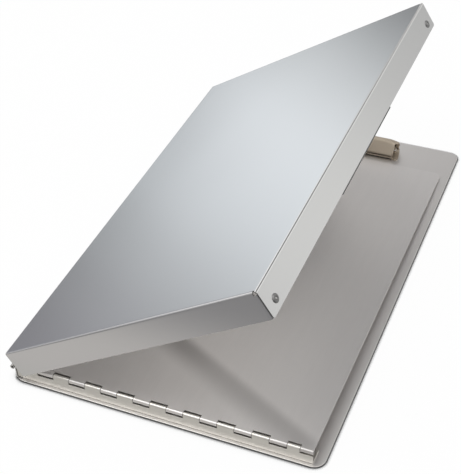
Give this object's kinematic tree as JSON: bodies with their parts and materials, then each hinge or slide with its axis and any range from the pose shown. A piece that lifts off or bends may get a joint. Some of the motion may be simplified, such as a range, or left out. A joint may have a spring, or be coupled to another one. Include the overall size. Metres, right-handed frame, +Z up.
{
  "type": "storage clipboard",
  "caption": "Sheet-aluminium storage clipboard: rounded base plate, deep cover on a long side hinge, hinged writing plate over a forms space, and a paper clip at the far edge.",
  "frame": {"origin": "centre of the base plate's underside", "axes": "+Z up, +Y from the near short edge with the writing plate's hinge to the far edge with the clip, -X the side of the cover's hinge"},
  "size_m": [0.2403, 0.383, 0.1454],
  "materials": {
    "sheet_aluminium": "satin rolled sheet",
    "plate_aluminium": "satin rolled sheet",
    "cover_aluminium": "bright satin sheet",
    "hinge_aluminium": "brushed",
    "rivet_aluminium": "satin",
    "latch_steel": "dark satin",
    "clip_metal": "satin, warm tint",
    "pin_steel": "drawn wire",
    "spring_steel": "drawn wire"
  },
  "bodies": {
    "base": {"base_plate": "sheet_aluminium", "near_hinge_leaf": "hinge_aluminium", "near_hinge_rivets": "rivet_aluminium", "near_hinge_pin": "pin_steel", "side_base_leaf": "hinge_aluminium", "side_base_rivets": "rivet_aluminium", "side_hinge_pin": "pin_steel", "clip_base": "clip_metal", "clip_rivets": "rivet_aluminium", "clip_pin": "pin_steel", "clip_spring": "spring_steel"},
    "cover": {"cover_pan": "cover_aluminium", "side_cover_leaf": "hinge_aluminium", "side_cover_rivets": "rivet_aluminium", "corner_rivets": "rivet_aluminium", "latch_strip": "latch_steel"},
    "plate": {"writing_plate": "plate_aluminium"},
    "jaw": {"clip_jaw": "clip_metal"}
  },
  "joints": [
    {"name": "cover_hinge", "type": "hinge", "parent": "base", "child": "cover", "pos_m": [-0.11738, -0.0005, 0.0122], "axis": [0, -1, 0], "range_deg": [-32, 148]},
    {"name": "writing_plate_hinge", "type": "hinge", "parent": "base", "child": "plate", "pos_m": [-0.00013, -0.18722, 0.0112], "axis": [1, 0, 0], "range_deg": [0, 3]},
    {"name": "clip_jaw_hinge", "type": "hinge", "parent": "base", "child": "jaw", "pos_m": [-0.00013, 0.17517, 0.0056], "axis": [-1, 0, 0], "range_deg": [0, 35], "stiffness_Nm_per_rad": 0.15, "springref_deg": -34.38}
  ]
}
